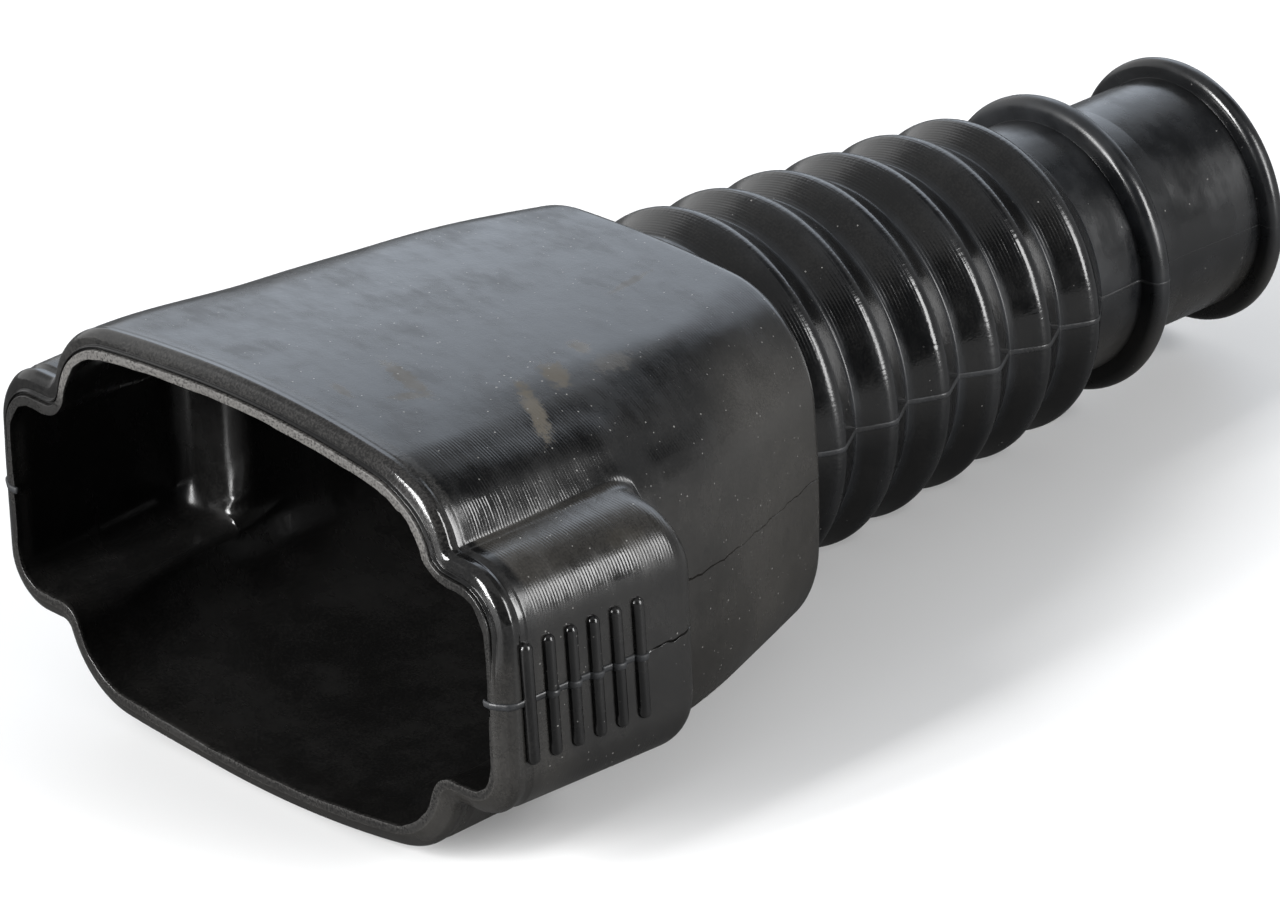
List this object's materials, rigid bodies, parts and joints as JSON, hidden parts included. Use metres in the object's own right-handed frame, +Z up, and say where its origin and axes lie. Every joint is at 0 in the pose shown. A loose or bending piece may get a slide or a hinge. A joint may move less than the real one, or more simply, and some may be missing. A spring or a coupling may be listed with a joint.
{
  "type": "connector rubber boot",
  "caption": "Black moulded rubber boot for a rectangular cable plug: open mouth with ribbed latch ears, tapered housing, tapering bellows and a ringed cable sleeve.",
  "frame": {"origin": "centre of the mouth, in the plane of its end face, on the boot's axis", "axes": "+X along the boot's axis from the mouth towards the cable, +Y across the two ears, +Z up through the top of the housing"},
  "size_m": [0.097, 0.0572, 0.033],
  "materials": {
    "black_rubber": "satin black, with matte mould marks"
  },
  "bodies": {
    "root": {"rubber_boot": "black_rubber"}
  },
  "joints": []
}
